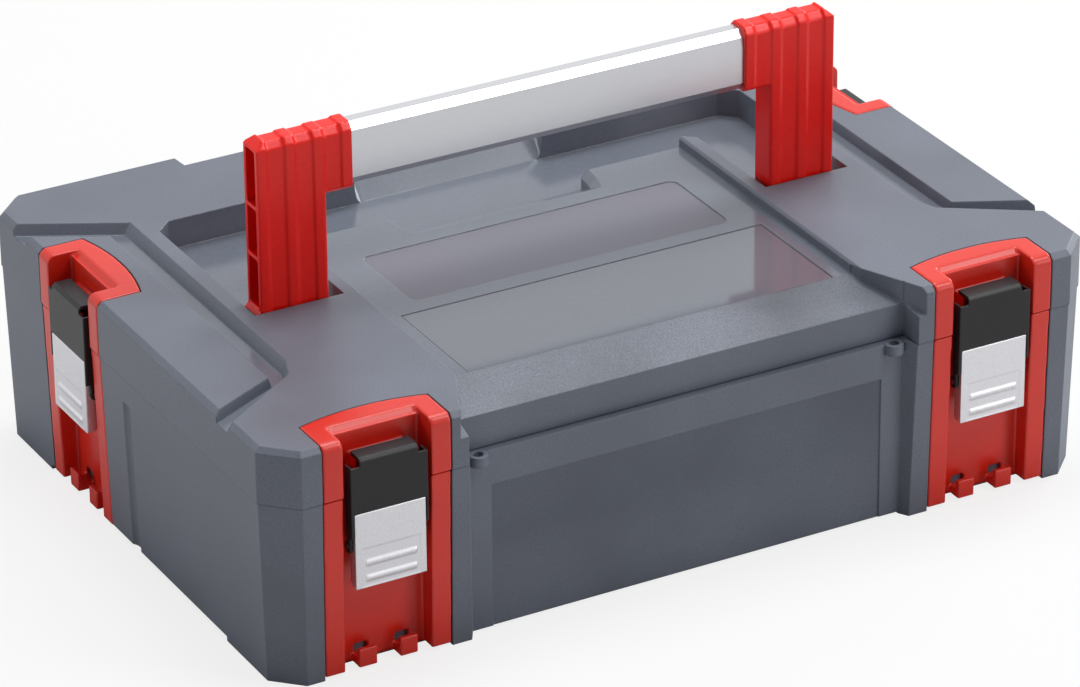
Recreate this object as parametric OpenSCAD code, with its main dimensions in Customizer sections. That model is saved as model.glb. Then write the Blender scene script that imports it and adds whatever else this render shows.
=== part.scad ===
// Hard tool case: moulded base and lid, rear hinge, four draw latches and a carrying
// handle that folds back into the lid. Sizes in millimetres.
// X runs along the front, Y to the rear, Z up. The case stands on z = 0 with its plan
// centre on the Z axis. Latches: fl, fr at the front, sl, sr on the left and right side.

/* [Case] */
// Width of the base at the seam
case_w = 443; // [430:1:480]
// Depth of the base at the seam
case_d = 310; // [300:1:350]
// Height of the seam over the feet
base_h = 93.5; // [90:0.5:140]
// Height of the lid over the seam
lid_h = 29; // [28:0.5:34]
// Leg of the 45 degree corner chamfers
corner = 15; // [8:1:20]
// Wall of the base
wall = 3; // [2.5:0.1:3.5]
// Wall of the lid
lid_wall = 2.5; // [2.2:0.1:3]
// How far the base walls lean in from the seam to the feet
draft = 2.4; // [0:0.2:3]
// Overhang of the lid skirt beyond the base
skirt = 0.5; // [0.2:0.1:1]
// Top of the base floor
floor_z = 5.5; // [4.5:0.5:7]
// Height of the corner feet below the side walls
foot_h = 2.5; // [1:0.25:3.5]
// Half length of the raised side edge between the feet
foot_gap = 97; // [80:1:105]
// Height of the front and rear edge between the feet
front_lift = 1; // [0.4:0.1:1.5]
// Height of the sealing rim over the seam
rim_h = 4; // [2:0.5:6]
// Thickness of the sealing rim
rim_t = 2; // [1.5:0.1:3]
// Open groove at the outer edge of the seam
seam_gap = 0.3; // [0.1:0.05:0.6]

/* [Front and rear recess] */
// Distance from the middle of a front latch to the recess
rec_gap = 42; // [40.5:0.5:46]
// Slant of the recess sides
rec_slant = 4.5; // [1:0.5:6]
// Depth of the recess in the base
base_rec = 7.5; // [5:0.5:9]
// Depth of the recess in the lid
lid_rec = 12; // [10.5:0.5:13]
// Distance from the side of the recess to the panel sunk in the front of the base
panel_in = 15.5; // [14:0.5:30]
// Top of the sunk front panel
panel_top = 75.7; // [60:0.5:80]
// Depth of the sunk front panel
panel_d = 0.6; // [0.3:0.1:1]
// Distance of the sealing eyes from the side of the recess
eye_in = 8.7; // [8.5:0.1:16]
// Outer radius of a sealing eye
eye_r = 4.8; // [4:0.1:5]
// Bore radius of a sealing eye
eye_bore = 2.5; // [1.5:0.1:3]
// Height of a sealing eye
eye_h = 5; // [3:0.5:8]
// Radius of the upright groove in each side wall
groove_r = 7; // [5:0.5:9]
// Depth of the upright groove in each side wall
groove_d = 2; // [1:0.1:2.2]
// Top of the upright groove in each side wall
groove_top = 80; // [60:1:84]

/* [Lid top] */
// Drop of the middle field and of the side grooves
strip_drop = 5.5; // [4:0.5:6]
// Bevel along the upper edges of the middle field's sides
strip_ch = 1.2; // [0.6:0.1:1.6]
// Distance from the handle wells to the middle field
strip_step = 7.7; // [6.7:0.1:11]
// Drop of the handle recess floor
well_drop = 15.5; // [15:0.25:16.5]
// Distance from the side walls to the handle recess
well_side = 58.5; // [56.5:0.1:59]
// Rear wall of the handle recess
well_rear = 90; // [88:0.5:94]
// Front wall of the handle wells
well_front = -22; // [-26:0.5:-21.8]
// Clearance between an upright and the inner wall of its well
well_gap = 5; // [2.8:0.1:7]
// Clearance between the folded bar sleeves and the rear edge of the middle field
field_gap = 0.6; // [0.4:0.1:2]
// Half width of the finger scoop
scoop_hw = 48; // [40:1:54]
// Front edge of the finger scoop
scoop_front = 28; // [24:1:34]
// Half width of the sloping dish behind the handle recess
dish_hw = 53; // [44:1:58]
// Distance from the sides of the middle field to the label recess
label_side = 21.5; // [10:0.5:48]
// Front edge of the label recess
label_front = -36.5; // [-42:0.5:-20]
// Rear edge of the label recess
label_rear = 17.5; // [0:0.5:20]
// Corner radius of the label recess
label_r = 4.5; // [2:0.5:8]
// Depth of the label recess
label_d = 0.4; // [0.3:0.1:1.2]
// Start of the sloping front ledge
ledge_y = -113.5; // [-118:0.5:-105]
// Drop of the front ledge at its front edge, below the middle field
ledge_drop = 6; // [3:0.5:7]
// Drop of the rear edge below the middle field
rear_drop = 2; // [0.5:0.5:4]
// Chamfer along the top edge of the lid
edge_ch = 2.7; // [1:0.1:3.5]
// Distance from the handle recess to the side groove
side_gap = 8; // [7.5:0.1:10]
// Width of the side groove
side_w = 15; // [12:0.5:15.5]

/* [Latches] */
// Distance from the side walls to the middle of the front latches
latch_in = 58.5; // [55.5:0.5:61.5]
// Position of the side latches behind the middle
side_y = 60.5; // [54:0.5:62]
// Width of the latch channel and bezel
ch_w = 65.4; // [60:0.2:66]
// Clear width between the jambs
ch_in = 45; // [43:0.2:48]
// Gap between the red pieces and the shells
ch_gap = 0.5; // [0.2:0.1:0.8]
// Depth of the channel back wall behind the front
ch_back = 10.5; // [9.8:0.1:10.8]
// Thickness of the channel back wall
ch_t = 2; // [1.5:0.1:2.5]
// Bottom of the channel
ch_bot = 1.5; // [1:0.25:3]
// How far the bezel stands proud of the front
bez_proud = 0.7; // [0.4:0.1:1]
// Depth of the bezel recess behind the front
bez_back = 12; // [11.5:0.1:12.5]
// Depth of the bezel top plate at its ends
bez_top = 22.5; // [20:0.5:24]
// Bulge of the bezel top plate in the middle
bez_bulge = 5; // [2:0.5:6]
// Thickness of the bezel top plate
bez_t = 3.8; // [3:0.2:4.5]
// Height of the bezel over the lid top
bez_up = 0.3; // [0:0.1:0.8]
// Radius of the bezel front edge
bez_r = 4.5; // [2:0.5:6]
// Half width of the strike
strike_hw = 14; // [10:0.5:14.5]
// Top of the strike over the seam
strike_top = 16.5; // [15:0.25:16.5]
// Height of the strike
strike_h = 7; // [4:0.5:9]
// Width of one catch hook at the channel foot
catch_w = 9.3; // [7:0.1:12]
// Distance of the catch hooks from the middle
catch_x = 10.65; // [9:0.1:13]
// Height of the catch hooks
catch_h = 9.5; // [7:0.5:12]

/* [Lever and hook] */
// Lever pivot below the seam
piv1_z = 13; // [12:0.25:14]
// Lever pivot behind the front
piv1_y = 1.8; // [1.6:0.1:2.2]
// Hook pivot below the lever pivot
piv2_z = 14; // [13:0.25:15]
// Hook pivot behind the front
piv2_y = 3; // [2.6:0.1:3.4]
// Lever width
lev_w = 36.4; // [34:0.2:36.6]
// Sheet thickness of the lever
lev_t = 1; // [0.8:0.05:1.1]
// Front of lever and hook before the case front
lev_out = 2.2; // [2.1:0.05:2.4]
// Length of the lever below its pivot
lev_low = 34.7; // [28:0.5:38]
// Length of the lever above its pivot
lev_up = 4.1; // [3:0.1:4.3]
// Depth of the lever flanges
lev_d = 6; // [5.5:0.1:6.5]
// Height of the grip field pressed in the lever
grip_h = 20; // [14:0.5:24]
// Half width of the grip field
grip_hw = 15.3; // [10:0.1:16]
// Hook width
hook_w = 39.6; // [39:0.1:40.4]
// Wall of the hook
hook_t = 1.2; // [1:0.05:1.3]
// Depth of the hook flanges
hook_d = 6.2; // [5:0.1:7]
// Half width of the hook tongue
tongue_hw = 15; // [12:0.5:16]
// Depth of the hook tongue
tongue_d = 10; // [8:0.25:10.5]
// Thickness of the hook tongue
tongue_t = 2.2; // [1.5:0.1:3]
// Clearance between tongue and strike
tongue_gap = 0.5; // [0.3:0.05:0.8]
// Radius of the lever pin
pin1_r = 1.5; // [1.2:0.05:1.7]
// Radius of the hook pin
pin2_r = 1.25; // [1:0.05:1.5]
// Radius of the pivot eyes on the channel
lug_r = 2.6; // [2.3:0.05:2.6]

/* [Hinge] */
// Radius of the hinge barrel
barrel_r = 4; // [3.5:0.1:4.5]
// Radius of the hinge pins
hpin_r = 2; // [1.5:0.1:2.2]
// Centre of one hinge from the middle
hinge_x = 65; // [50:1:75]
// Length of one knuckle
knuckle = 20; // [14:0.5:24]
// Gap between the knuckles
knuckle_gap = 0.3; // [0.2:0.05:0.6]
// Distance of the hinge axis inside the rear face
axis_in = 1.4; // [1.2:0.1:1.8]
// Chamfer at the rear of the seam
hinge_ch = 4; // [3.5:0.25:5]

/* [Handle] */
// Handle axis in front of the middle
hp_y = -11.5; // [-12:0.25:-11]
// Handle axis below the lid top
hp_drop = 9; // [8.8:0.05:9.2]
// Height of the handle over its axis
grip_top = 96; // [90:0.5:98]
// Clearance between the foot of an upright and the outer wall of its well
up_gap = 2.9; // [2.6:0.1:4]
// Sideways rest position of the handle within its play
play = -2.3; // [-2.4:0.1:2.4]
// Width of one upright
up_w = 35.8; // [32:0.2:36]
// Front of the uprights before the axis
up_f = 9; // [8.5:0.1:9.4]
// Rear of the uprights behind the axis
up_b = 4.7; // [4.2:0.1:4.9]
// Wall of the uprights
up_t = 2.2; // [1.6:0.1:2.6]
// Height of the raised ribs on the uprights
rib_h = 0.8; // [0.4:0.1:0.9]
// Width of a raised rib
rib_w = 5.4; // [4:0.2:7]
// Bevel along the top edges of the uprights
up_ch = 3; // [2:0.1:3.4]
// Bevel at the outer top end of the uprights
up_hip = 4.5; // [3:0.25:5]
// Height of the bar sleeves
arm_h = 34.5; // [34:0.5:36]
// Length of the bar sleeves
arm_l = 14.1; // [12:0.1:16]
// Bar sleeves deeper than the uprights at the rear
arm_b = 0.9; // [0.4:0.1:1.2]
// Height of the bar
bar_h = 31; // [26:0.5:31.5]
// Thickness of the bar
bar_t = 12; // [10:0.2:12.2]
// Height of the bar's front bevels
bar_ch = 3.5; // [2:0.25:4]
// Depth of the bar's lower bevels
bar_foot = 2; // [1:0.25:4]
// Bevel of the bar's upper rear corner
bar_rc = 2.2; // [1.6:0.1:2.8]
// Wall of the hollow bar
bar_wall = 1.6; // [1.2:0.1:2.2]
// Radius of the handle pins
hand_r = 2.5; // [2:0.1:2.8]
// Flare of the foot of an upright
flare = 3.1; // [1:0.1:3.3]

/* [Fits] */
// Radial clearance of turning parts on their pins
run_fit = 0.05; // [0.02:0.01:0.09]
// Radial clearance of pins held in their seats
seat_fit = 0.02; // [0.01:0.01:0.03]

/* [Hidden] */
hw = case_w / 2;
hd = case_d / 2;
top = base_h + lid_h;
latch_x = hw - latch_in;
rec_hw = latch_x - rec_gap;
panel_hw = rec_hw - panel_in;
eye_x = rec_hw - eye_in;
eye_seat = eye_r + 0.4;
well_hw = hw - well_side;
up_x = well_hw - up_gap - flare - up_w / 2;
well_in = up_x - up_w / 2 - well_gap;
strip_hw = well_in - strip_step;
label_hw = strip_hw - label_side;
side_x = well_hw + side_gap;
field_rear = hp_y + grip_top - arm_h - field_gap;
pocket_hw = ch_w / 2 + ch_gap;
base_pd = ch_back + ch_t;
lid_pd = bez_back + ch_t;
diag = (hw + hd - corner) / sqrt(2);
draft_a = atan(draft / base_h);
strip_z = top - strip_drop;
well_z = top - well_drop;
ceil_z = top - 9;
hinge_y = hd - axis_in;
p1z = base_h - piv1_z;
p2z = p1z - piv2_z;
hpz = top - hp_drop;
bulge_r = (pow(ch_w / 2, 2) + pow(bez_bulge, 2)) / (2 * bez_bulge);
tongue_z = base_h + strike_top + tongue_gap;
hand_top = hpz + grip_top;
up_top = hand_top - rib_h;
rib_p = (up_w + arm_l - rib_w) / 3;
bar_z = hand_top - arm_h + 1.5;

// Octagon of the case, half sizes w and d, corner chamfer c.
function oct(w, d, c) = [[c - w, -d], [w - c, -d], [w, c - d], [w, d - c],
    [w - c, d], [c - w, d], [-w, d - c], [-w, c - d]];
// Four-sided outline of the front (s = -1) or rear (s = 1) recess, grown by t.
function rec_pts(s, t, rd, sl) = [[-rec_hw - t - sl, s * (hd + rd)], [rec_hw + t + sl, s * (hd + rd)],
    [rec_hw - sl + t, s * (hd - rd - t)], [sl - rec_hw - t, s * (hd - rd - t)]];
// Left-hand unit normal of an edge, crossing of two lines, outline moved in edge by edge.
function nrm(a, b) = [a[1] - b[1], b[0] - a[0]] / norm(b - a);
function meet(n, c, m, e) = [c * m[1] - e * n[1], n[0] * e - m[0] * c] / (n[0] * m[1] - n[1] * m[0]);
function moved(p, d) = [for (i = [0 : len(p) - 1]) let (h = (i + len(p) - 1) % len(p),
    a = nrm(p[h], p[i]), b = nrm(p[i], p[(i + 1) % len(p)])) meet(a, a * p[i] + d[h], b, b * p[i] + d[i])];

// Plan of the case: t moves every wall in, g moves only the outer walls out,
// pd is the depth of the latch pockets, rd and sl are depth and slant of the recesses.
module plan(t, g, pd, rd, sl) {
    difference() {
        polygon(oct(hw + g - t, hd + g - t, corner - (t - g) * (2 - sqrt(2))));
        for (s = [-1, 1]) {
            translate([s * latch_x, -hd]) square([2 * (pocket_hw + t), 2 * (pd + t)], center = true);
            translate([s * hw, side_y]) square([2 * (pd + t), 2 * (pocket_hw + t)], center = true);
            polygon(rec_pts(s, t, rd, sl));
        }
    }
}

module base_plan(t) {
    plan(t, 0, base_pd, base_rec, rec_slant);
}

module lid_plan(t) {
    plan(t, skirt, lid_pd, lid_rec, 1);
}

// Plan of the sealing rim, t inside the pockets and recesses of the lid.
module rim_plan(t) {
    plan(t, 0, lid_pd, lid_rec, 1);
}

// Solid outside the leaning outer walls of the base, moved in by t.
module outside(t) {
    for (k = [[0, hd], [180, hd], [90, hw], [270, hw], [45, diag], [135, diag], [225, diag], [315, diag]]) {
        rotate([0, 0, k[0]]) translate([0, t - k[1], base_h]) rotate([draft_a, 0, 0])
            translate([-case_w, -20, -2 * base_h]) cube([2 * case_w, 20, 2 * base_h]);
    }
}

// Profile in Y and Z drawn out along X, centred.
module along_x(l) {
    rotate([90, 0, 90]) linear_extrude(l, center = true) children();
}

// Rod along X, centred on y and z.
module rod(r, l, y, z) {
    translate([0, y, z]) rotate([0, 90, 0]) cylinder(r = r, h = l, center = true, $fn = 48);
}

// Hollow with sloping walls: outline p at z1, moved in by d at z0; caps are its convex parts.
module tub(p, d, z0, z1, caps) {
    n = len(p);
    r = moved(p, -d / (z1 - z0));
    q = moved(p, d);
    polyhedron(points = concat([for (v = r) [v[0], v[1], z1 + 1]], [for (v = q) [v[0], v[1], z0]]),
        faces = concat([for (c = caps) [for (i = [len(c) - 1 : -1 : 0]) c[i]]], [for (c = caps) [for (i = c) n + i]],
            [for (i = [0 : n - 1]) [i, (i + 1) % n, n + (i + 1) % n, n + i]]));
}

// Places of the four latches: local origin at the case front, y inward.
module at_fl() {
    translate([-latch_x, -hd, 0]) children();
}
module at_fr() {
    translate([latch_x, -hd, 0]) children();
}
module at_sl() {
    translate([-hw, side_y, 0]) rotate([0, 0, -90]) children();
}
module at_sr() {
    translate([hw, side_y, 0]) rotate([0, 0, 90]) children();
}
module at_all() {
    at_fl() children();
    at_fr() children();
    at_sl() children();
    at_sr() children();
}

module base_shell() {
    color([0.33, 0.35, 0.38]) difference() {
        union() {
            difference() {
                linear_extrude(base_h) base_plan(0);
                outside(0);
                difference() {
                    translate([0, 0, floor_z]) linear_extrude(base_h) base_plan(wall);
                    outside(wall);
                }
            }
            translate([0, 0, base_h - 8]) linear_extrude(8) difference() {
                base_plan(wall - 0.2);
                rim_plan(lid_wall + 0.6 + rim_t);
            }
            for (s = [-1, 1]) {
                for (k = [-1, 1]) {
                    translate([s * hinge_x + k * knuckle, 0, 0]) along_x(knuckle - knuckle_gap) union() {
                        translate([hinge_y, base_h]) circle(r = barrel_r, $fn = 48);
                        polygon([[hd - base_rec - 1, base_h - 16], [hd - base_rec, base_h - 16],
                            [hinge_y + barrel_r * 0.7, base_h - barrel_r * 0.7],
                            [hinge_y, base_h - 1], [hd - base_rec - 1, base_h - 1]]);
                    }
                }
            }
        }
        translate([-rec_hw + rec_slant, -hd - 1, -1]) cube([2 * (rec_hw - rec_slant), case_d + 2, 1 + front_lift]);
        translate([-hw - 1, -foot_gap, -1]) cube([case_w + 2, 2 * foot_gap, 1 + foot_h]);
        translate([-panel_hw, base_rec - hd - 1, -1]) cube([2 * panel_hw, 1 + panel_d, panel_top + 1]);
        for (s = [-1, 1]) {
            translate([s * eye_x - eye_seat, base_rec - hd - 1, base_h - eye_h])
                cube([2 * eye_seat, 1 + eye_seat, eye_h + 1]);
            translate([s * eye_x - eye_bore, base_rec - hd - 1, base_h - eye_h - 2])
                cube([2 * eye_bore, 1 + eye_bore, 3]);
            translate([s * (hw + groove_r - groove_d), 0, groove_top])
                rotate([0, s * draft_a, 0]) translate([0, 0, -base_h]) cylinder(r = groove_r, h = base_h, $fn = 64);
            translate([s * (rec_hw + 60), 0, 0]) along_x(120) polygon([[hd - hinge_ch, base_h + 0.01],
                [hd + 1, base_h + 0.01], [hd + 1, base_h - hinge_ch - 1]]);
            translate([s * hinge_x, 0, 0]) rod(hpin_r + seat_fit, 3 * knuckle + 2, hinge_y, base_h);
        }
    }
    color([0.33, 0.35, 0.38]) translate([0, 0, base_h]) linear_extrude(rim_h) difference() {
        rim_plan(lid_wall + 0.6);
        rim_plan(lid_wall + 0.6 + rim_t);
    }
}

// Eyes for a seal in the front edge of the base, part of the same moulding.
module seal_eyes() {
    color([0.33, 0.35, 0.38]) for (s = [-1, 1]) {
        translate([s * eye_x, base_rec - hd, base_h - eye_h]) difference() {
            union() {
                cylinder(r = eye_r, h = eye_h, $fn = 48);
                translate([-eye_seat, 0, 0]) cube([2 * eye_seat, eye_seat, eye_h]);
            }
            translate([0, 0, -1]) cylinder(r = eye_bore, h = eye_h + 2, $fn = 48);
        }
    }
}

// Corner part of the lid top removed beside the middle field, front (s = -1) or rear (s = 1).
module diag_cut(s, w) {
    polygon([[-w, s * (hd - 45)], [-w - 1, s * (hd - 33.5)], [-w - 17, s * (hd + 1)],
        [w + 17, s * (hd + 1)], [w + 1, s * (hd - 33.5)], [w, s * (hd - 45)]]);
}

// Lowered field of half width w from y0 to y1, with bevelled upper edges.
module trough(w, y0, y1) {
    translate([0, y1, 0]) rotate([90, 0, 0]) linear_extrude(y1 - y0) polygon([[-w, strip_z], [w, strip_z],
        [w, top - strip_ch], [w + strip_ch + 1, top + 1], [-w - strip_ch - 1, top + 1], [-w, top - strip_ch]]);
}

// Outline of the right side groove, counter-clockwise from its inner rear corner.
groove_pts = [[side_x, side_y + 37.2], [side_x, 85 - hd], [side_x + 5, 72 - hd], [hw + 2.5, 39.6 - hd],
    [hw + 2.5, 54.4 - hd], [side_x + side_w, 73.7 - hd], [side_x + side_w, side_y + 28.3],
    [hw + 2.5, side_y + 48.8], [hw + 2.5, side_y + 65.8]];
groove_in = [4, 3, 2, 0, 1.4, 1.4, 1.4, 0, 2.5];
groove_caps = [[0, 1, 5, 6], [1, 2, 5], [2, 3, 4, 5], [6, 7, 8, 0]];

// Outline of the handle recess.
well_pts = [[-well_hw, well_front], [-well_in, well_front], [-well_in, field_rear - 5],
    [-strip_hw - 1.5, field_rear], [strip_hw + 1.5, field_rear], [well_in, field_rear - 5],
    [well_in, well_front], [well_hw, well_front], [well_hw, well_rear - 8],
    [well_hw - 8.5, well_rear], [8.5 - well_hw, well_rear], [-well_hw, well_rear - 8]];

// Outline of the sloping dish behind the handle recess, half width w, rear edge at y, round rear corners r.
module dish_plan(w, y, r) {
    polygon(concat([[-w, well_rear - 12], [w, well_rear - 12]],
        [for (a = [0 : 15 : 90]) [w - r + r * cos(a), y - r + r * sin(a)]],
        [for (a = [90 : 15 : 180]) [r - w + r * cos(a), y - r + r * sin(a)]]));
}

// Outline of the finger scoop in front of the handle recess, grown sideways by g.
module scoop_plan(g) {
    polygon([[-scoop_hw - g, scoop_front], [scoop_hw + g, scoop_front], [scoop_hw + g + 3, scoop_front + 11],
        [scoop_hw + g + 4.5, field_rear + 1], [-scoop_hw - g - 4.5, field_rear + 1],
        [-scoop_hw - g - 3, scoop_front + 11]]);
}

module lid_shell() {
    color([0.36, 0.38, 0.41]) difference() {
        union() {
            translate([0, 0, base_h]) linear_extrude(seam_gap) lid_plan(1.3);
            translate([0, 0, base_h + seam_gap]) linear_extrude(lid_h - seam_gap) lid_plan(0);
            for (s = [-1, 1]) {
                translate([s * hinge_x, 0, 0]) along_x(knuckle - knuckle_gap) union() {
                    translate([hinge_y, base_h]) circle(r = barrel_r, $fn = 48);
                    translate([hd - lid_rec - 1, base_h + 0.5])
                        square([hinge_y - hd + lid_rec + 1, barrel_r - 1.2]);
                }
            }
        }
        difference() {
            translate([0, 0, base_h - 1]) linear_extrude(ceil_z - base_h + 1) lid_plan(lid_wall);
            translate([-well_hw - 5, well_front - 2.5, well_z - 2.5])
                cube([2 * well_hw + 10, well_rear + 16 - well_front + 2.5, 30]);
            translate([-strip_hw - 20, -hd, strip_z - ledge_drop - 3]) cube([2 * strip_hw + 40, hd + ledge_y + 8, 30]);
            translate([-strip_hw - 20, hd - 40, strip_z - rear_drop - 3]) cube([2 * strip_hw + 40, 40, 30]);
        }
        for (s = [-1, 1]) {
            translate([s * (strip_hw + side_x) / 2 - 22, ledge_y, ceil_z - 1]) cube([44, 86, 6.5]);
            translate([s * (strip_hw + side_x) / 2 - 22, well_rear + 16, ceil_z - 1]) cube([44, 22, 6.5]);
            translate([s * (dish_hw + strip_hw) / 2 - 24, well_rear + 16, ceil_z - 1]) cube([48, 22, 6.5]);
            translate([s * (side_x + side_w + 11) - 8, -70, ceil_z - 1]) cube([16, 90, 6.5]);
        }
        trough(strip_hw, -hd - 1, well_rear - 5);
        trough(dish_hw, well_rear - 6, hd + 1);
        intersection() {
            linear_extrude(top + 5) diag_cut(-1, strip_hw);
            along_x(case_w) polygon([[ledge_y, strip_z], [ledge_y, top + 3], [-hd - 9, top + 3],
                [-hd - 9, strip_z - ledge_drop * 1.7], [lid_rec - hd, strip_z - ledge_drop]]);
        }
        intersection() {
            linear_extrude(top + 5) diag_cut(1, dish_hw);
            along_x(case_w) polygon([[hd - 34, strip_z], [hd - lid_rec, strip_z - rear_drop],
                [hd + 9, strip_z - 2 * rear_drop], [hd + 9, top + 3], [hd - 34, top + 3]]);
        }
        translate([label_r - label_hw, label_front + label_r, strip_z - label_d]) label_block();
        intersection() {
            union() {
                linear_extrude(top + 5) scoop_plan(0);
                hull() {
                    translate([0, 0, strip_z - 4]) linear_extrude(0.01) scoop_plan(0);
                    translate([0, 0, strip_z]) linear_extrude(1) scoop_plan(4);
                }
            }
            along_x(case_w) polygon([[scoop_front - 1, strip_z + 0.4], [scoop_front, strip_z],
                [field_rear - 1, well_z], [field_rear + 2, well_z], [field_rear + 2, top + 3],
                [scoop_front - 1, top + 3]]);
        }
        translate([0, 0, well_z]) linear_extrude(well_drop + 5) polygon(well_pts);
        hull() {
            translate([0, 0, well_z]) linear_extrude(0.01) dish_plan(dish_hw - 1.5, well_rear + 0.5, 4);
            translate([0, 0, strip_z]) linear_extrude(1) dish_plan(dish_hw, well_rear + 12, 8);
        }
        for (s = [-1, 1]) {
            mirror([s < 0 ? 1 : 0, 0, 0]) tub(groove_pts, groove_in, strip_z, top, groove_caps);
            translate([s * (rec_hw + 60), 0, 0]) along_x(124) polygon([[hd - hinge_ch + skirt, base_h - 0.01],
                [hd + 2, base_h - 0.01], [hd + 2, base_h + hinge_ch + 1.5 - skirt]]);
            translate([s * hinge_x, 0, 0]) rod(hpin_r + run_fit, knuckle + 2, hinge_y, base_h);
            translate([s * (well_hw + well_in) / 2, 0, 0]) rod(hand_r + seat_fit, well_hw - well_in + 8.4, hp_y, hpz);
        }
        at_all() bezel_pocket();
        for (k = [[0, hd], [180, hd], [90, hw], [270, hw], [45, diag], [135, diag], [225, diag], [315, diag]]) {
            rotate([0, 0, k[0]]) translate([0, -skirt - k[1], top - edge_ch]) rotate([45, 0, 0])
                translate([-case_w, -6, 0]) cube([2 * case_w, 12 + edge_ch, 12]);
        }
    }
}

// Label recess, round corners, open upward; origin at its lower left corner centre.
module label_block() {
    a = 2 * (label_hw - label_r);
    b = label_rear - label_front - 2 * label_r;
    translate([-label_r, 0, 0]) cube([a + 2 * label_r, b, 5]);
    translate([0, -label_r, 0]) cube([a, b + 2 * label_r, 5]);
    for (x = [0, a], y = [0, b]) {
        translate([x, y, 0]) cylinder(r = label_r, h = 5, $fn = 48);
    }
}

// Plan of the bezel top plate with bulged rear edge, grown by g.
module bezel_plan(g) {
    translate([-ch_w / 2 - g, bez_back]) square([ch_w + 2 * g, bez_top + g - bez_back]);
    intersection() {
        translate([0, bez_top + bez_bulge - bulge_r]) circle(r = bulge_r + g, $fn = 256);
        translate([-ch_w / 2 - g, bez_back]) square([ch_w + 2 * g, bez_top + bez_bulge + g]);
    }
}

// Seat of the bezel top plate in the lid.
module bezel_pocket() {
    translate([0, 0, top + bez_up - bez_t]) linear_extrude(9) bezel_plan(ch_gap);
}

module channel() {
    difference() {
        union() {
            for (s = [-1, 1]) {
                translate([s * (ch_in + ch_w) / 4 - (ch_w - ch_in) / 4, 0, ch_bot])
                    cube([(ch_w - ch_in) / 2, base_pd, base_h - ch_bot - seam_gap]);
                translate([s * catch_x - catch_w / 2, 2.5, ch_bot]) cube([catch_w, ch_back - 2.4, 4]);
                translate([s * catch_x - catch_w / 2, 2.5, ch_bot]) cube([catch_w, 2.6, catch_h]);
                translate([s * 13 - 2, 0, 0]) union() {
                    translate([0, piv1_y, p1z - 8]) cube([4, ch_back - piv1_y + 0.1, 8]);
                    translate([2, 0, 0]) rod(lug_r, 4, piv1_y, p1z);
                }
            }
            translate([-ch_in / 2 - 0.1, ch_back, ch_bot]) cube([ch_in + 0.2, ch_t, base_h - ch_bot - seam_gap]);
        }
        translate([0, 0, base_h]) rotate([draft_a, 0, 0]) translate([-ch_w, -20, -2 * base_h])
            cube([2 * ch_w, 20, 2 * base_h]);
        for (s = [-1, 1]) {
            translate([s * catch_x - 3.5, ch_back - 1, ch_bot + 4]) cube([7, ch_t + 2, 4.3]);
        }
        rod(pin1_r + seat_fit, 40, piv1_y, p1z);
    }
}

module bezel() {
    difference() {
        union() {
            for (s = [-1, 1]) {
                translate([s * (ch_in + ch_w) / 4, 0, 0]) along_x((ch_w - ch_in) / 2) difference() {
                    translate([-bez_proud, base_h + seam_gap])
                        square([lid_pd + bez_proud, lid_h + bez_up - seam_gap]);
                    difference() {
                        translate([-bez_proud - 1, top + bez_up - bez_r]) square([bez_r + 1, bez_r + 1]);
                        translate([bez_r - bez_proud, top + bez_up - bez_r]) circle(r = bez_r, $fn = 48);
                    }
                }
            }
            translate([-ch_in / 2 - 0.1, bez_back, base_h + seam_gap])
                cube([ch_in + 0.2, ch_t, lid_h + bez_up - seam_gap]);
            translate([0, 0, top + bez_up - bez_t]) linear_extrude(bez_t) bezel_plan(0);
            translate([-strike_hw, 4, base_h + strike_top - strike_h]) cube([2 * strike_hw, bez_back - 3.9, strike_h]);
        }
        translate([-ch_in / 2, bez_back, top + bez_up]) rotate([-45, 0, 0]) translate([0, -3, -1.4]) cube([ch_in, 6, 5]);
    }
}

module lever() {
    difference() {
        union() {
            translate([-lev_w / 2, -lev_out, p1z - lev_low]) cube([lev_w, lev_t, lev_low + lev_up]);
            for (s = [-1, 1]) {
                translate([s * (lev_w - lev_t) / 2, 0, 0]) along_x(lev_t) union() {
                    translate([-lev_out, p1z - lev_low + lev_d / 2]) square([lev_d, lev_low + lev_up - lev_d / 2 - 1]);
                    translate([lev_d / 2 - lev_out, p1z - lev_low + lev_d / 2]) circle(r = lev_d / 2, $fn = 48);
                    translate([piv1_y, p1z]) circle(r = pin1_r + 1.5, $fn = 48);
                    translate([piv2_y, p2z]) circle(r = pin2_r + 1.9, $fn = 48);
                }
            }
            for (z = [3.2, 11.2]) {
                translate([0, 0, p1z - lev_low + z]) along_x(2 * grip_hw - 4.6) polygon([[-lev_out + 0.1, 0],
                    [-lev_out - 0.4, 1], [-lev_out - 0.4, 2.2], [-lev_out + 0.1, 3.2]]);
            }
        }
        translate([-grip_hw, -lev_out - 1, p1z - lev_low + 0.5]) difference() {
            cube([2 * grip_hw, 1.25, grip_h]);
            translate([2.3, 0, 2.7]) cube([2 * grip_hw - 4.6, 3, 3.2]);
            translate([2.3, 0, 10.7]) cube([2 * grip_hw - 4.6, 3, 3.2]);
        }
        rod(pin1_r + run_fit, 50, piv1_y, p1z);
        rod(pin2_r + seat_fit, 50, piv2_y, p2z);
    }
}

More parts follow.
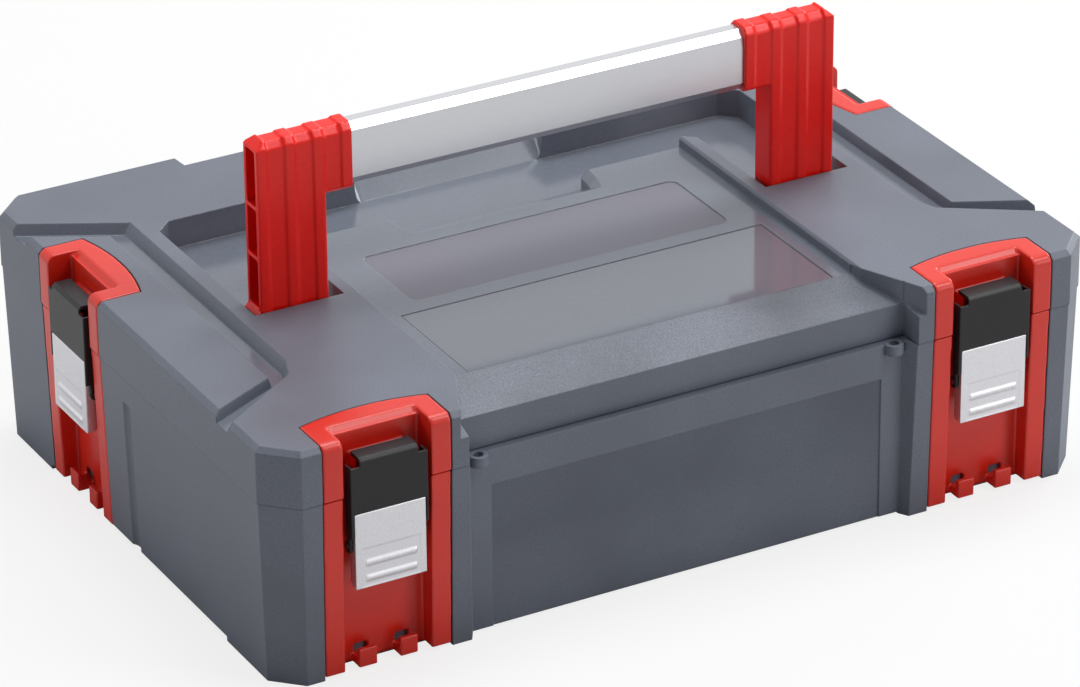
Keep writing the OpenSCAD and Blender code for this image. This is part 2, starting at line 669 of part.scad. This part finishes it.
module hook() {
    z0 = p1z + lev_up + 0.4;
    z1 = tongue_z + tongue_t;
    difference() {
        union() {
            translate([-hook_w / 2, -lev_out, z0]) cube([hook_w, hook_t, z1 - z0 - 4]);
            translate([-tongue_hw, -lev_out, z1 - 4.1]) cube([2 * tongue_hw, hook_t, 4.1]);
            translate([-tongue_hw, -lev_out, tongue_z]) cube([2 * tongue_hw, tongue_d, tongue_t]);
            for (s = [-1, 1]) {
                translate([s * (hook_w - hook_t) / 2, 0, 0]) along_x(hook_t) union() {
                    translate([-lev_out, p2z + 5.5]) square([hook_d, z1 - 4 - p2z - 5.5]);
                    translate([0, p2z]) square([hook_d - lev_out, 6]);
                    translate([piv2_y, p2z]) circle(r = pin2_r + 1.9, $fn = 48);
                }
            }
        }
        rod(pin2_r + run_fit, 50, piv2_y, p2z);
        along_x(60) polygon([[-lev_out - 1, z1 + 0.1], [-lev_out - 1, z1 - 2.6], [-lev_out, z1 - 1.6],
            [-lev_out + 1.6, z1], [-lev_out + 1.6, z1 + 0.1]]);
    }
}

module hook_rod() {
    rod(pin2_r, hook_w, piv2_y, p2z);
}

// Profile of an upright in Y and Z, raised by h at front and top, from z = b upward, rear moved back by k.
module up_side(h, b, k = 0) {
    polygon([[hp_y - up_f - h, b], [hp_y - up_f - h, up_top + h - 1.25 * up_ch], [hp_y - up_f - h + up_ch, up_top + h],
        [hp_y + up_b + k - up_ch, up_top + h], [hp_y + up_b + k, up_top + h - up_ch], [hp_y + up_b + k, b]]);
}

// Right upright about its own middle, with the sleeve toward the middle of the case.
module upright() {
    difference() {
        union() {
            along_x(up_w) up_side(0, hpz);
            along_x(up_w + 0.02) intersection() {
                translate([hp_y - up_f, hpz - up_b - 1]) square([up_f + up_b, up_b + 10]);
                union() {
                    translate([hp_y, hpz]) circle(r = up_b + 1.6, $fn = 64);
                    translate([hp_y - up_f, hpz - up_b - 1]) square([up_f, up_b + 10]);
                    translate([hp_y - up_f, hpz]) square([up_f + up_b, 10]);
                }
                union() {
                    translate([hp_y, hpz]) circle(r = up_f + 0.3, $fn = 64);
                    translate([hp_y - up_f, hpz]) square([up_f + up_b, 10]);
                }
            }
            intersection() {
                translate([0, hp_y, 0]) rotate([90, 0, 0]) linear_extrude(60, center = true)
                    polygon([[0, hpz - 6], [up_w / 2 + flare, hpz - 6], [up_w / 2 + flare, hpz + 6],
                        [up_w / 2, hpz + 6 + flare], [0, hpz + 6 + flare]]);
                along_x(100) intersection() {
                    translate([hp_y - up_f, hpz - up_b - 1]) square([up_f + up_b, 30]);
                    union() {
                        translate([hp_y, hpz]) circle(r = up_b + 1.6, $fn = 64);
                        translate([hp_y - up_f, hpz]) square([up_f + up_b, 30]);
                    }
                }
            }
            translate([-up_w / 2 - arm_l / 2, 0, 0]) along_x(arm_l + 0.2) difference() {
                up_side(0, hand_top - arm_h, arm_b);
                polygon([[hp_y - up_f - 1, hand_top - arm_h - 1], [hp_y - up_f - 1, hand_top - arm_h + 3],
                    [hp_y - up_f, hand_top - arm_h + 2], [hp_y - up_f + 2, hand_top - arm_h],
                    [hp_y - up_f + 2, hand_top - arm_h - 1]]);
            }
            for (k = [0, 1, 2]) {
                translate([up_w / 2 - rib_w / 2 - k * rib_p, 0, 0]) along_x(rib_w) up_side(rib_h, hpz + 6);
            }
            translate([up_w / 2 - rib_w / 2 - 3 * rib_p, 0, 0]) along_x(rib_w)
                up_side(rib_h, hand_top - arm_h + 2, arm_b);
        }
        difference() {
            translate([up_t - up_w / 2, hp_y - up_f + up_t, hpz + 10])
                cube([up_w, up_f + up_b - 2 * up_t, up_top - hpz - 10 - up_hip]);
            for (z = [36.5, 62.5]) {
                translate([-up_w, hp_y - up_f, hpz + z - 2]) cube([2 * up_w, up_f + up_b, 2]);
            }
        }
        translate([-up_w / 2 - arm_l / 2 - 2, 0, 0]) along_x(arm_l) bar_side();
        rod(hand_r + run_fit, 3 * up_w, hp_y, hpz);
        translate([0, hp_y + 30, 0]) rotate([90, 0, 0]) linear_extrude(60) polygon([[up_w / 2 - up_hip, hand_top],
            [up_w / 2 + 1, hand_top - 0.9 * (up_hip + 1)], [up_w / 2 + 1, hand_top + 1], [up_w / 2 - up_hip, hand_top + 1]]);
    }
}

// Section of the bar in Y and Z, counter-clockwise.
bar_y = hp_y + (up_b + arm_b - up_f - bar_t) / 2 + 0.15;
bar_pts = [[bar_y, bar_z + bar_ch], [bar_y + bar_foot, bar_z], [bar_y + bar_t - bar_foot, bar_z],
    [bar_y + bar_t, bar_z + bar_ch], [bar_y + bar_t, bar_z + bar_h - bar_rc],
    [bar_y + bar_t - bar_rc, bar_z + bar_h], [bar_y + bar_ch + 0.6, bar_z + bar_h],
    [bar_y + 0.6, bar_z + bar_h - bar_ch], [bar_y, bar_z + bar_h - bar_ch - 4.5]];

module bar_side() {
    polygon(bar_pts);
}

module latch_channel_fl() {
    color([0.75, 0.2, 0.16]) at_fl() channel();
}
module latch_channel_fr() {
    color([0.75, 0.2, 0.16]) at_fr() channel();
}
module latch_channel_sl() {
    color([0.75, 0.2, 0.16]) at_sl() channel();
}
module latch_channel_sr() {
    color([0.75, 0.2, 0.16]) at_sr() channel();
}
module latch_bezel_fl() {
    color([0.8, 0.24, 0.2]) at_fl() bezel();
}
module latch_bezel_fr() {
    color([0.8, 0.24, 0.2]) at_fr() bezel();
}
module latch_bezel_sl() {
    color([0.8, 0.24, 0.2]) at_sl() bezel();
}
module latch_bezel_sr() {
    color([0.8, 0.24, 0.2]) at_sr() bezel();
}
module latch_lever_fl() {
    color([0.8, 0.8, 0.82]) at_fl() lever();
}
module latch_lever_fr() {
    color([0.8, 0.8, 0.82]) at_fr() lever();
}
module latch_lever_sl() {
    color([0.8, 0.8, 0.82]) at_sl() lever();
}
module latch_lever_sr() {
    color([0.8, 0.8, 0.82]) at_sr() lever();
}
module latch_hook_fl() {
    color([0.15, 0.15, 0.15]) at_fl() hook();
}
module latch_hook_fr() {
    color([0.15, 0.15, 0.15]) at_fr() hook();
}
module latch_hook_sl() {
    color([0.15, 0.15, 0.15]) at_sl() hook();
}
module latch_hook_sr() {
    color([0.15, 0.15, 0.15]) at_sr() hook();
}
module hook_pin_fl() {
    color([0.6, 0.6, 0.62]) at_fl() hook_rod();
}
module hook_pin_fr() {
    color([0.6, 0.6, 0.62]) at_fr() hook_rod();
}
module hook_pin_sl() {
    color([0.6, 0.6, 0.62]) at_sl() hook_rod();
}
module hook_pin_sr() {
    color([0.6, 0.6, 0.62]) at_sr() hook_rod();
}

module lever_pins() {
    color([0.6, 0.6, 0.62]) at_all() rod(pin1_r, lev_w, piv1_y, p1z);
}

module hinge_pins() {
    color([0.6, 0.6, 0.62]) for (s = [-1, 1]) {
        translate([s * hinge_x, 0, 0]) rod(hpin_r, 3 * knuckle - 1, hinge_y, base_h);
    }
}

module handle_pivot_pins() {
    color([0.6, 0.6, 0.62]) for (s = [-1, 1]) {
        translate([s * (well_hw + well_in) / 2, 0, 0]) rod(hand_r, well_hw - well_in + 8, hp_y, hpz);
    }
}

module handle_bar() {
    color([0.78, 0.79, 0.8]) translate([play, 0, 0]) along_x(2 * up_x - up_w - 4) difference() {
        bar_side();
        polygon(moved(bar_pts, [for (v = bar_pts) bar_wall]));
    }
}

module handle_upright_left() {
    color([0.75, 0.16, 0.12]) translate([play - up_x, 0, 0]) mirror([1, 0, 0]) upright();
}

module handle_upright_right() {
    color([0.75, 0.16, 0.12]) translate([play + up_x, 0, 0]) upright();
}

base_shell();
seal_eyes();
lid_shell();
latch_channel_fl();
latch_channel_fr();
latch_channel_sl();
latch_channel_sr();
latch_bezel_fl();
latch_bezel_fr();
latch_bezel_sl();
latch_bezel_sr();
latch_lever_fl();
latch_lever_fr();
latch_lever_sl();
latch_lever_sr();
latch_hook_fl();
latch_hook_fr();
latch_hook_sl();
latch_hook_sr();
hook_pin_fl();
hook_pin_fr();
hook_pin_sl();
hook_pin_sr();
lever_pins();
hinge_pins();
handle_pivot_pins();
handle_bar();
handle_upright_left();
handle_upright_right();
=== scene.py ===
from math import radians

import bmesh
import bpy
from mathutils import Matrix, Vector


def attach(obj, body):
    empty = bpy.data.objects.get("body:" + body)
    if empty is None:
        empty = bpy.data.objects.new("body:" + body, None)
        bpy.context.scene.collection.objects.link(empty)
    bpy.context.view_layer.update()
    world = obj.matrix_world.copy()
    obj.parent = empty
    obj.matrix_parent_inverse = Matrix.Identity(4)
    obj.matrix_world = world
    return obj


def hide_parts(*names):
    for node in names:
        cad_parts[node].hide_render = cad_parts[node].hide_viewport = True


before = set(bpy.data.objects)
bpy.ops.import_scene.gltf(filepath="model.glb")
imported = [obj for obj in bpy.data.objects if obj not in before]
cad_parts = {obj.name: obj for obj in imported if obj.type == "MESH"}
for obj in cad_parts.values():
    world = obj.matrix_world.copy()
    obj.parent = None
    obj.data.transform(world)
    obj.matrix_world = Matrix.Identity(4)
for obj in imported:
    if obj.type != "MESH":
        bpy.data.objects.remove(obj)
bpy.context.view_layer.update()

# ---- Camera ----
# A long lens from the front left, a little above the case, as in a catalogue picture.
# Its place and its three axes were fitted to the corners of the case.
cam = bpy.data.objects.new("camera", bpy.data.cameras.new("camera"))
bpy.context.scene.collection.objects.link(cam)
cam.data.lens = 194.516
cam.data.sensor_width = 36
cam.data.sensor_fit = "HORIZONTAL"
cam.data.clip_end = 30
right = Vector((0.87521218, -0.48366076, -0.00871262))
upward = Vector((0.22747717, 0.39560428, 0.88980413))
back = Vector((-0.42691659, -0.78074933, 0.45625947))
cam.matrix_world = Matrix.LocRotScale(Vector((-1.218907, -2.231466, 1.359995)),
                                      Matrix((right, upward, back)).transposed().to_quaternion(), None)
bpy.context.scene.camera = cam

# ---- Case base ----
# Injection moulded polypropylene tub with corner feet and a sealing rim, and the two
# eyes for a seal that are moulded with it. Everything else is clipped or pinned to it.


def lin(code):
    """Linear colour of an sRGB hex value."""
    parts = [int(code[i:i + 2], 16) / 255 for i in (0, 2, 4)]
    return [c / 12.92 if c < 0.04045 else ((c + 0.055) / 1.055) ** 2.4 for c in parts] + [1]


def add(tree, kind, sockets=None, **settings):
    """One node with its settings; a socket takes a value or another node's output."""
    made = tree.nodes.new(kind)
    for key, value in settings.items():
        setattr(made, key, value)
    for key, value in (sockets or {}).items():
        if isinstance(value, bpy.types.NodeSocket):
            tree.links.new(value, made.inputs[key])
        else:
            made.inputs[key].default_value = value
    return made


def start(name):
    """Empty material and its tree, with object coordinates in metres."""
    made = bpy.data.materials.new(name)
    made.use_nodes = True
    made.node_tree.nodes.clear()
    place = add(made.node_tree, "ShaderNodeTexCoord").outputs["Object"]
    return made, made.node_tree, place


def finish_with(tree, shader):
    """Sends a shader to the material's output."""
    add(tree, "ShaderNodeOutputMaterial", {"Surface": shader.outputs[0]})


def plastic(name, shade, light, rough, grain_mm, depth_mm, wander=0.06, edge_mm=0.6, sheen=0.5):
    """Moulded plastic: cloudy tone, eroded grain, rounded edges, gloss that varies a little."""
    made, tree, place = start(name)
    clouds_per_metre = 14
    clouds = add(tree, "ShaderNodeTexNoise", {"Vector": place, "Scale": clouds_per_metre, "Detail": 3.0})
    grain = add(tree, "ShaderNodeTexNoise", {"Vector": place, "Scale": 1000 / grain_mm / 2, "Detail": 2.0,
                                             "Roughness": 0.6})
    mixed = add(tree, "ShaderNodeMath", {0: clouds.outputs[0], 1: grain.outputs[0]}, operation="MULTIPLY")
    tone = add(tree, "ShaderNodeValToRGB", {"Fac": mixed.outputs[0]})
    tone.color_ramp.elements[0].position = 0.1
    tone.color_ramp.elements[1].position = 0.42
    tone.color_ramp.elements[0].color = lin(shade)
    tone.color_ramp.elements[1].color = lin(light)
    gloss = add(tree, "ShaderNodeMapRange", {"Value": clouds.outputs[0], "From Min": 0.3, "From Max": 0.7,
                                             "To Min": rough - wander, "To Max": rough + wander})
    edge = add(tree, "ShaderNodeBevel", {"Radius": edge_mm / 1000}, samples=6)
    bump = add(tree, "ShaderNodeBump", {"Height": grain.outputs[0], "Distance": depth_mm / 1000,
                                        "Strength": 1.0, "Normal": edge.outputs[0]})
    polypropylene_ior = 1.49
    finish_with(tree, add(tree, "ShaderNodeBsdfPrincipled", {
        "Base Color": tone.outputs[0], "Roughness": gloss.outputs[0], "IOR": polypropylene_ior,
        "Specular IOR Level": sheen, "Normal": bump.outputs[0]}))
    return made


# Spark-eroded mould: a fine dull grain in blue grey that hides scratches.
grey_grained = plastic("grained_polypropylene", "5B606B", "6B717E", 0.46, 0.45, 0.03,
                       edge_mm=1.1, sheen=0.45)


def clean(name):
    """A CAD node's outside as one clean mesh."""
    bm = bmesh.new()
    bm.from_mesh(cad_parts[name].data)
    bmesh.ops.remove_doubles(bm, verts=bm.verts, dist=2e-6)
    bmesh.ops.dissolve_limit(bm, angle_limit=radians(0.4), verts=bm.verts, edges=bm.edges)
    return bm


def piece_from(bm, name, materials, corner=28):
    """Object made from a bmesh, smooth over its curves and sharp at its corners."""
    mesh = bpy.data.meshes.new(name)
    bm.to_mesh(mesh)
    bm.free()
    made = bpy.data.objects.new(name, mesh)
    bpy.context.scene.collection.objects.link(made)
    for material in materials:
        mesh.materials.append(material)
    mesh.polygons.foreach_set("use_smooth", [True] * len(mesh.polygons))
    mesh.set_sharp_from_angle(angle=radians(corner))
    return made


grained_corner = 2
for name in ("base_shell", "seal_eyes"):
    base = piece_from(clean(name), name + "_skin", [grey_grained], grained_corner)
    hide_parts(name)
    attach(base, "base")

# ---- Latch channels ----
# Red moulded guides clipped into the four wall pockets; they carry the lever pins and
# two catch hooks at the foot for a case stacked below.

# Lightly blasted mould: an even satin red without visible grain.
red_satin = plastic("satin_red_polypropylene", "D22719", "DC2C1B", 0.3, 0.5, 0.008, 0.03, 0.4, 0.5)


def softened(name, material, step_mm, rounds):
    """A CAD node's outside in fine even faces, eased so that its edges are rounded as moulded."""
    made = piece_from(clean(name), name + "_skin", [material], corner=180)
    net = made.modifiers.new("net", "REMESH")
    net.mode, net.voxel_size = "VOXEL", step_mm / 1000
    ease = made.modifiers.new("ease", "SMOOTH")
    ease.factor, ease.iterations = 0.5, rounds
    done = bpy.data.meshes.new_from_object(made.evaluated_get(bpy.context.evaluated_depsgraph_get()))
    made.modifiers.clear()
    made.data = done
    done.materials.clear()
    done.materials.append(material)
    done.polygons.foreach_set("use_smooth", [True] * len(done.polygons))
    return made


for side in ("fl", "fr", "sl", "sr"):
    channel = softened("latch_channel_" + side, red_satin, 0.6, 5)
    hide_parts("latch_channel_" + side)
    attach(channel, "base")

# ---- Pins ----
# Drawn steel pins of the latches, the hinges and the handle, pressed into their seats.
# The pieces of the CAD model show as they are and only get their metal.


def metal(name, shade, light, rough, line_mm, depth_mm, along=(1, 1, 1), wander=0.05):
    """Drawn or rolled metal: fine lines and a gloss that varies along them."""
    made, tree, place = start(name)
    spread = add(tree, "ShaderNodeMapping", {"Vector": place, "Scale": along})
    lines = add(tree, "ShaderNodeTexNoise", {"Vector": spread.outputs[0], "Scale": 1000 / line_mm / 2,
                                             "Detail": 3.0, "Roughness": 0.65})
    tone = add(tree, "ShaderNodeValToRGB", {"Fac": lines.outputs[0]})
    tone.color_ramp.elements[0].position = 0.3
    tone.color_ramp.elements[1].position = 0.7
    tone.color_ramp.elements[0].color = lin(shade)
    tone.color_ramp.elements[1].color = lin(light)
    gloss = add(tree, "ShaderNodeMapRange", {"Value": lines.outputs[0], "From Min": 0.3, "From Max": 0.7,
                                             "To Min": rough - wander, "To Max": rough + wander})
    bump = add(tree, "ShaderNodeBump", {"Height": lines.outputs[0], "Distance": depth_mm / 1000,
                                        "Strength": 1.0})
    finish_with(tree, add(tree, "ShaderNodeBsdfPrincipled", {
        "Base Color": tone.outputs[0], "Roughness": gloss.outputs[0], "Metallic": 1.0,
        "Normal": bump.outputs[0]}))
    return made


# Drawn through a die: bright, with lines along the pin.
pin_steel = metal("drawn_steel", "9A9A9C", "B4B4B6", 0.3, 0.4, 0.004, (0.05, 1, 1))
for name in ("lever_pins", "hinge_pins", "handle_pivot_pins",
             "hook_pin_fl", "hook_pin_fr", "hook_pin_sl", "hook_pin_sr"):
    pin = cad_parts[name]
    pin.data.materials.clear()
    pin.data.materials.append(pin_steel)

# ---- Lid ----
# Moulded lid of the same plastic, hung on the hinge pins. Its middle strip and handle recess
# come from a smoother part of the mould, and a polished field lies in front of a label seat.

# Smooth mould: soft reflections of what stands over it.
grey_smooth = plastic("smooth_polypropylene", "676D78", "6D7480", 0.17, 1.2, 0.003, 0.03, 1.1)
# Coarsely eroded mould: a ledge that glitters in small speckles.
grey_coarse = plastic("coarse_grained_polypropylene", "3F444E", "727884", 0.4, 0.36, 0.09,
                      edge_mm=1.1, sheen=0.5)
# Polished mould: a dark mirror.
grey_gloss = plastic("polished_polypropylene", "646973", "686D77", 0.08, 1.5, 0.001, 0.02, 0.3, 0.85)
# Etched mould: flat and dull, where a label can be stuck.
label_seat = plastic("etched_label_seat", "787882", "7C7C86", 0.6, 0.5, 0.003, 0.03, 0.2, 0.1)
lid_finishes = [grey_grained, grey_smooth, grey_gloss, label_seat, grey_coarse]
smooth, polished, etched, coarse = 1, 2, 3, 4

bm = clean("lid_shell")
strip_z = 0.117
label_drop = 0.0004
flat_z = 0.99
same_z = 1e-4
field_half_width = 0.099
field_front = -0.1136
field_rear = -0.0465
ledge_rear = -0.1135
ledge_half_width = 0.126
ledge_top = 0.1175
recess_floor, recess_top = 0.1069, 0.1169
recess_half_depth, recess_half_width = 0.1, 0.1635

for spot, normal in (((field_half_width, 0, 0), (1, 0, 0)), ((-field_half_width, 0, 0), (1, 0, 0)),
                     ((0, field_rear, 0), (0, 1, 0))):
    flat = [f for f in bm.faces if f.normal.z > flat_z and abs(f.calc_center_median().z - strip_z) < same_z]
    edges = list({e for f in flat for e in f.edges})
    corners = list({v for f in flat for v in f.verts})
    bmesh.ops.bisect_plane(bm, geom=corners + edges + flat, plane_co=spot, plane_no=normal, dist=1e-7)
for f in bm.faces:
    x, y, z = f.calc_center_median()
    if f.normal.z > flat_z and abs(z - strip_z) < same_z:
        in_field = abs(x) < field_half_width and field_front < y < field_rear
        f.material_index = polished if in_field else smooth
    elif f.normal.z > flat_z and abs(z - strip_z + label_drop) < same_z:
        f.material_index = etched
    elif y < ledge_rear and f.normal.z > 0.9 and abs(x) < ledge_half_width and z < ledge_top:
        f.material_index = coarse
    elif (recess_floor < z < recess_top and abs(y) < recess_half_depth and abs(x) < recess_half_width
          and f.normal.z > -0.1):
        f.material_index = smooth

# A narrow groove goes round the polished field, which lies a little below the strip.
groove_side = 0.0003
groove_down, groove_up = -0.0009, 0.0006
field = [f for f in bm.faces if f.material_index == polished]
for depth in (groove_down, groove_up):
    wall = bmesh.ops.inset_region(bm, faces=field, thickness=groove_side, depth=depth, use_even_offset=True)
    for f in wall["faces"]:
        f.material_index = etched
lid = piece_from(bm, "lid_shell_skin", lid_finishes, grained_corner)
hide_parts("lid_shell")
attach(lid, "lid")

# ---- Latch bezels ----
# Red moulded frames set into the lid over each latch, of the same plastic as the channels,
# with the strike that the hook pulls on. Their upper edges are well rounded.
for side in ("fl", "fr", "sl", "sr"):
    bezel = softened("latch_bezel_" + side, red_satin, 0.5, 12)
    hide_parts("latch_bezel_" + side)
    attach(bezel, "lid")

# ---- Handle ----
# Two red moulded uprights on steel pins, hollow and open to the side, with an extruded
# aluminium bar pushed into their sleeves.

# Polished mould: a deep glossy red with bright edges.
red_gloss = plastic("glossy_red_nylon", "EE1408", "F61B0C", 0.2, 1.2, 0.003, 0.03, 0.4, 0.33)
for side in ("left", "right"):
    upright = softened("handle_upright_" + side, red_gloss, 0.5, 3)
    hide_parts("handle_upright_" + side)
    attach(upright, "handle")
# Extruded, etched and anodised: an even satin white with hardly any line.
bar_metal = metal("satin_anodised_aluminium", "CACBCF", "CDCED2", 0.3, 1.2, 0.0002,
                  (0.004, 1, 1), 0.015)
bar = piece_from(clean("handle_bar"), "handle_bar_skin", [bar_metal])
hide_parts("handle_bar")
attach(bar, "handle")

# ---- Latch levers and hooks ----
# Pressed steel levers with a ribbed grip, turning on the lever pins, and the pressed steel
# hooks that are hung from them.

# Zinc plated and tumbled: a satin white that is a little uneven.
lever_steel = metal("satin_plated_steel", "CBCBCF", "D8D8DC", 0.42, 0.5, 0.01)
# Powder coated: black with a soft sheen. The coat is what shows, so it is no metal here.
hook_black = plastic("black_coated_steel", "1E1E20", "242427", 0.38, 0.6, 0.008, 0.04, 0.4, 0.3)
for side in ("fl", "fr", "sl", "sr"):
    lever = softened("latch_lever_" + side, lever_steel, 0.33, 5)
    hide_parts("latch_lever_" + side)
    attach(lever, "lever_" + side)
    hook = softened("latch_hook_" + side, hook_black, 0.35, 4)
    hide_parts("latch_hook_" + side)
    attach(hook, "hook_" + side)

# ---- Floor, lights and surroundings ----
# Plain pale floor that runs to white and keeps the shadow. Soft lamps stand overhead, over
# the front, at both sides and in front, in a white surrounding.
bm = bmesh.new()
floor_half_size = 6
bmesh.ops.create_grid(bm, x_segments=1, y_segments=1, size=floor_half_size)
floor = piece_from(bm, "floor", [])
made, tree, _ = start("pale_floor")
rays = add(tree, "ShaderNodeLightPath")
glow = 0.8
share = add(tree, "ShaderNodeMath", {0: rays.outputs["Is Camera Ray"], 1: glow}, operation="MULTIPLY")
matt = add(tree, "ShaderNodeBsdfDiffuse", {"Color": lin("E4E4E4")})
white = add(tree, "ShaderNodeEmission", {"Color": lin("FFFFFF"), "Strength": 1.0})
finish_with(tree, add(tree, "ShaderNodeMixShader", {
    0: share.outputs[0], 1: matt.outputs[0], 2: white.outputs[0]}))
floor.data.materials.append(made)


def lamp(name, spot, width, height, power):
    """A soft lamp that looks at the middle of the lid."""
    aim = Vector((0, 0, 0.1))
    light = bpy.data.lights.new(name, "AREA")
    light.shape = "RECTANGLE"
    light.size, light.size_y, light.energy = width, height, power
    made = bpy.data.objects.new(name, light)
    bpy.context.scene.collection.objects.link(made)
    turn = (aim - Vector(spot)).to_track_quat("-Z", "Y").to_matrix().to_4x4()
    made.matrix_world = Matrix.Translation(spot) @ turn


lamp("overhead", (0.2, 0.4, 2.2), 1.4, 1.2, 38)
lamp("over front", (1.1, -1.15, 2.05), 0.7, 0.7, 16)
lamp("left", (-2.5, 0.9, 0.8), 1.2, 1.2, 17)
lamp("right", (2.4, 0.9, 1.2), 1.4, 1.2, 38)
lamp("front", (2.0, -2.2, 0.9), 1.2, 1.2, 17)

# The camera and reflections see a white surrounding, which gives much less light than it shows.
world = bpy.data.worlds.new("studio")
bpy.context.scene.world = world
world.use_nodes = True
tree = world.node_tree
tree.nodes.clear()
rays = add(tree, "ShaderNodeLightPath")
direct = add(tree, "ShaderNodeMath", {0: rays.outputs["Is Camera Ray"], 1: rays.outputs["Is Glossy Ray"]},
             operation="MAXIMUM")
visible = add(tree, "ShaderNodeMath", {0: direct.outputs[0], 1: rays.outputs["Is Transmission Ray"]},
              operation="MAXIMUM")
seen = add(tree, "ShaderNodeBackground", {"Color": lin("FFFFFF"), "Strength": 1.0})
around = add(tree, "ShaderNodeBackground", {"Color": lin("FFFFFF"), "Strength": 0.075})
both = add(tree, "ShaderNodeMixShader", {0: visible.outputs[0], 1: around.outputs[0], 2: seen.outputs[0]})
add(tree, "ShaderNodeOutputWorld", {"Surface": both.outputs[0]})
bpy.context.scene.view_settings.view_transform = "Standard"
